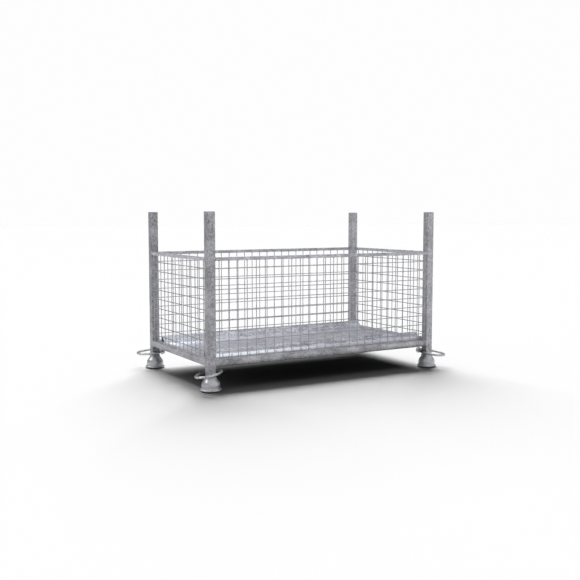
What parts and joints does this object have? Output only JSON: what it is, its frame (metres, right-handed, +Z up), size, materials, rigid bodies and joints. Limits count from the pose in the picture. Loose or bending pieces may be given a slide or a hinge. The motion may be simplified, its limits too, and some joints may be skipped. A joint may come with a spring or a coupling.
{
  "type": "wire mesh container",
  "caption": "Galvanised steel stacking container with open wire mesh sides, a sheet floor, corner posts on bell feet, and a swinging lifting ring at each foot.",
  "frame": {"origin": "ground level, middle of the container between the four feet", "axes": "+X along the long sides to the right, +Y to the back, +Z up; the front long side faces -Y"},
  "size_m": [1.8118, 1.1023, 1.03],
  "materials": {
    "galvanised_post": "hot-dip galvanised tube, dull grey with fine spangle and streaks",
    "galvanised_rail": "hot-dip galvanised tube, dull grey",
    "galvanised_foot": "hot-dip galvanised casting, slightly rough",
    "galvanised_bar": "hot-dip galvanised round bar, smoother and brighter",
    "galvanised_sheet": "galvanised sheet with spangle and scuffs, bluish grey",
    "galvanised_wire": "galvanised welded wire"
  },
  "bodies": {
    "container": {"post_front_left": "galvanised_post", "post_front_right": "galvanised_post", "post_back_left": "galvanised_post", "post_back_right": "galvanised_post", "bell_foot_front_left": "galvanised_foot", "bell_foot_front_right": "galvanised_foot", "bell_foot_back_left": "galvanised_foot", "bell_foot_back_right": "galvanised_foot", "ring_lug_front_left": "galvanised_foot", "ring_lug_front_right": "galvanised_foot", "ring_lug_back_left": "galvanised_foot", "ring_lug_back_right": "galvanised_foot", "lower_rail_front": "galvanised_rail", "lower_rail_back": "galvanised_rail", "lower_rail_left": "galvanised_rail", "lower_rail_right": "galvanised_rail", "top_rail_front": "galvanised_rail", "top_rail_back": "galvanised_rail", "top_rail_left": "galvanised_rail", "top_rail_right": "galvanised_rail", "floor_sheet": "galvanised_sheet", "edge_strip_front": "galvanised_sheet", "edge_strip_back": "galvanised_sheet", "floor_ridge_front": "galvanised_sheet", "floor_ridge_back": "galvanised_sheet", "cross_bearer_left": "galvanised_rail", "cross_bearer_middle": "galvanised_rail", "cross_bearer_right": "galvanised_rail", "mesh_front_upright_wires": "galvanised_wire", "mesh_front_level_wires": "galvanised_wire", "mesh_back_upright_wires": "galvanised_wire", "mesh_back_level_wires": "galvanised_wire", "mesh_left_upright_wires": "galvanised_wire", "mesh_left_level_wires": "galvanised_wire", "mesh_right_upright_wires": "galvanised_wire", "mesh_right_level_wires": "galvanised_wire"},
    "ring_front_left": {"lifting_ring_front_left": "galvanised_bar"},
    "ring_front_right": {"lifting_ring_front_right": "galvanised_bar"},
    "ring_back_left": {"lifting_ring_back_left": "galvanised_bar"},
    "ring_back_right": {"lifting_ring_back_right": "galvanised_bar"}
  },
  "joints": [
    {"name": "ring_swing_front_left", "type": "hinge", "parent": "container", "child": "ring_front_left", "pos_m": [-0.75682, -0.40182, 0.108], "axis": [-0.7071, 0.7071, 0], "range_deg": [0, 25]},
    {"name": "ring_swing_front_right", "type": "hinge", "parent": "container", "child": "ring_front_right", "pos_m": [0.75682, -0.40182, 0.108], "axis": [-0.7071, -0.7071, 0], "range_deg": [0, 46]},
    {"name": "ring_swing_back_left", "type": "hinge", "parent": "container", "child": "ring_back_left", "pos_m": [-0.75682, 0.40182, 0.108], "axis": [0.7071, 0.7071, 0], "range_deg": [0, 35]},
    {"name": "ring_swing_back_right", "type": "hinge", "parent": "container", "child": "ring_back_right", "pos_m": [0.75682, 0.40182, 0.108], "axis": [0.7071, -0.7071, 0], "range_deg": [0, 39]}
  ]
}
